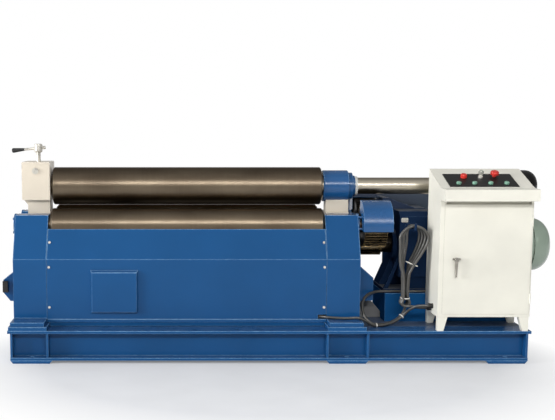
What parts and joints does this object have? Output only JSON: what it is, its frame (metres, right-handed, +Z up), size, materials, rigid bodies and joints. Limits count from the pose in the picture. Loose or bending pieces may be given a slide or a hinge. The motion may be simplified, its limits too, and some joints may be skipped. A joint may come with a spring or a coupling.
{
  "type": "plate rolling machine",
  "caption": "Mechanical plate rolling machine with a lifting upper roll, gear-driven lower rolls, a tilting drop-end bearing, a geared motor drive and a push-button cabinet.",
  "frame": {"origin": "centre of the four corner foundation bolts, at floor level", "axes": "+X along the rolls from the drop end to the drive end, +Y to the rear, +Z up"},
  "size_m": [3.294, 1.055, 1.244],
  "materials": {
    "blue_paint": "gloss",
    "dark_blue_paint": "gloss",
    "cream_paint": "gloss",
    "cabinet_paint": "satin",
    "motor_paint": "satin",
    "black_paint": "gloss",
    "roll_steel": "turned",
    "bright_steel": "polished",
    "zinc_steel": "plated",
    "gear_steel": "oiled",
    "bronze": "machined",
    "seal_ring": "matte",
    "black_plastic": "matte",
    "panel_black": "anodised",
    "grey_plastic": "matte",
    "green_plastic": "gloss",
    "red_plastic": "gloss",
    "cable_rubber": "matte"
  },
  "bodies": {
    "base": {"base_beams": "blue_paint", "base_feet": "blue_paint", "base_cross_members": "blue_paint", "drive_deck": "blue_paint", "stand_base_plates": "blue_paint", "left_stand": "blue_paint", "right_stand": "blue_paint", "frame_bushes": "bronze", "bearing_caps": "blue_paint", "lift_supports": "gear_steel", "lift_gearbox": "blue_paint", "lift_motor": "motor_paint", "worm_hoods": "blue_paint", "gear_guards": "blue_paint", "front_cover": "blue_paint", "rear_cover": "blue_paint", "inspection_plate": "blue_paint", "cover_screws": "zinc_steel", "drive_pedestal": "blue_paint", "reducer_housing": "dark_blue_paint", "drive_cover": "blue_paint", "motor_body": "motor_paint", "motor_fan_cover": "motor_paint", "cabinet_body": "cabinet_paint", "control_panel": "panel_black", "switchgear": "grey_plastic", "electrical_fittings": "black_plastic", "lift_cable": "cable_rubber", "motor_cable": "cable_rubber"},
    "lift": {"lift_columns": "cream_paint", "lift_screws": "bright_steel", "upper_housing": "blue_paint", "upper_bush": "bronze", "upper_seal_ring": "seal_ring"},
    "upper_roll": {"upper_roll": "roll_steel", "tail_cap": "black_paint"},
    "drop_end": {"drop_end_block": "cream_paint", "drop_end_bush": "bronze", "drop_end_plug": "zinc_steel"},
    "lock": {"lock_handle": "zinc_steel", "lock_grip": "black_plastic"},
    "lift_shaft": {"lift_shaft": "bright_steel"},
    "left_nut": {"left_worm_nut": "bronze"},
    "right_nut": {"right_worm_nut": "bronze"},
    "rotor": {"motor_shaft": "bright_steel"},
    "layshaft": {"reducer_layshaft": "gear_steel"},
    "pinion": {"drive_pinion": "gear_steel"},
    "front_roll": {"front_lower_roll": "roll_steel", "front_roll_gear": "gear_steel"},
    "rear_roll": {"rear_lower_roll": "roll_steel", "rear_roll_gear": "gear_steel"},
    "cabinet_door": {"cabinet_door": "cabinet_paint"},
    "door_handle": {"door_handle": "zinc_steel"},
    "green_button_1": {"green_button_1": "green_plastic"},
    "green_button_2": {"green_button_2": "green_plastic"},
    "green_button_3": {"green_button_3": "green_plastic"},
    "green_button_4": {"green_button_4": "green_plastic"},
    "red_button": {"red_button": "red_plastic"},
    "emergency_stop": {"emergency_stop": "red_plastic"},
    "key_switch": {"key_switch": "zinc_steel"}
  },
  "joints": [
    {"name": "motor_spin", "type": "hinge", "parent": "base", "child": "rotor", "pos_m": [1.37, 0, 0.63361], "axis": [1, 0, 0], "continuous": true},
    {"name": "layshaft_spin", "type": "hinge", "parent": "base", "child": "layshaft", "pos_m": [0.9, 0.165, 0.63361], "axis": [1, 0, 0], "continuous": true},
    {"name": "pinion_spin", "type": "hinge", "parent": "base", "child": "pinion", "pos_m": [0.64, 0, 0.63361], "axis": [1, 0, 0], "continuous": true},
    {"name": "front_roll_spin", "type": "hinge", "parent": "base", "child": "front_roll", "pos_m": [-0.466, -0.14, 0.765], "axis": [1, 0, 0], "continuous": true},
    {"name": "rear_roll_spin", "type": "hinge", "parent": "base", "child": "rear_roll", "pos_m": [-0.466, 0.14, 0.765], "axis": [1, 0, 0], "continuous": true},
    {"name": "lift_shaft_spin", "type": "hinge", "parent": "base", "child": "lift_shaft", "pos_m": [-0.47, -0.072, 0.38], "axis": [1, 0, 0], "range_deg": [-12573.7, 8245]},
    {"name": "left_nut_spin", "type": "hinge", "parent": "base", "child": "left_nut", "pos_m": [-1.354, 0, 0.38], "axis": [0, 0, 1], "range_deg": [-1571.7, 1030.6]},
    {"name": "right_nut_spin", "type": "hinge", "parent": "base", "child": "right_nut", "pos_m": [0.44, 0, 0.38], "axis": [0, 0, 1], "range_deg": [-1571.7, 1030.6]},
    {"name": "upper_roll_lift", "type": "slide", "parent": "base", "child": "lift", "axis": [0, 0, 1], "range_m": [-0.061, 0.04]},
    {"name": "upper_roll_spin", "type": "hinge", "parent": "lift", "child": "upper_roll", "pos_m": [0.43, 0, 0.99], "axis": [1, 0, 0], "continuous": true},
    {"name": "drop_end_tilt", "type": "hinge", "parent": "lift", "child": "drop_end", "pos_m": [-1.354, 0, 0.748], "axis": [0, -1, 0], "range_deg": [0, 80]},
    {"name": "lock_turn", "type": "hinge", "parent": "drop_end", "child": "lock", "pos_m": [-1.366, 0, 1.16], "axis": [0, 0, 1], "range_deg": [-180, 180]},
    {"name": "cabinet_door_hinge", "type": "hinge", "parent": "base", "child": "cabinet_door", "pos_m": [1.475, -0.486, 0.6], "axis": [0, 0, 1], "range_deg": [0, 110]},
    {"name": "door_handle_turn", "type": "hinge", "parent": "cabinet_door", "child": "door_handle", "pos_m": [1.048, -0.49, 0.603], "axis": [0, 1, 0], "range_deg": [0, 90]},
    {"name": "key_switch_turn", "type": "hinge", "parent": "base", "child": "key_switch", "pos_m": [1.214, -0.33606, 1.05584], "axis": [0, -0.3213, 0.947], "range_deg": [-45, 45]},
    {"name": "green_button_1_press", "type": "slide", "parent": "base", "child": "green_button_1", "axis": [0, 0.3213, -0.947], "range_m": [0, 0.004], "stiffness_N_per_m": 400, "springref_m": -0.003},
    {"name": "green_button_2_press", "type": "slide", "parent": "base", "child": "green_button_2", "axis": [0, 0.3213, -0.947], "range_m": [0, 0.004], "stiffness_N_per_m": 400, "springref_m": -0.003},
    {"name": "green_button_3_press", "type": "slide", "parent": "base", "child": "green_button_3", "axis": [0, 0.3213, -0.947], "range_m": [0, 0.004], "stiffness_N_per_m": 400, "springref_m": -0.003},
    {"name": "green_button_4_press", "type": "slide", "parent": "base", "child": "green_button_4", "axis": [0, 0.3213, -0.947], "range_m": [0, 0.004], "stiffness_N_per_m": 400, "springref_m": -0.003},
    {"name": "red_button_press", "type": "slide", "parent": "base", "child": "red_button", "axis": [0, 0.3213, -0.947], "range_m": [0, 0.005], "stiffness_N_per_m": 400, "springref_m": -0.003},
    {"name": "emergency_stop_press", "type": "slide", "parent": "base", "child": "emergency_stop", "axis": [0, 0.3213, -0.947], "range_m": [0, 0.007], "stiffness_N_per_m": 600, "springref_m": -0.003}
  ],
  "couplings": [
    {"joint": "layshaft_spin", "follows": "motor_spin", "ratio": -0.22222},
    {"joint": "pinion_spin", "follows": "motor_spin", "ratio": 0.049383},
    {"joint": "front_roll_spin", "follows": "motor_spin", "ratio": -0.022447},
    {"joint": "rear_roll_spin", "follows": "motor_spin", "ratio": -0.022447},
    {"joint": "lift_shaft_spin", "follows": "upper_roll_lift", "rad_per_m": 3590.4},
    {"joint": "left_nut_spin", "follows": "upper_roll_lift", "rad_per_m": 448.8},
    {"joint": "right_nut_spin", "follows": "upper_roll_lift", "rad_per_m": 448.8}
  ]
}
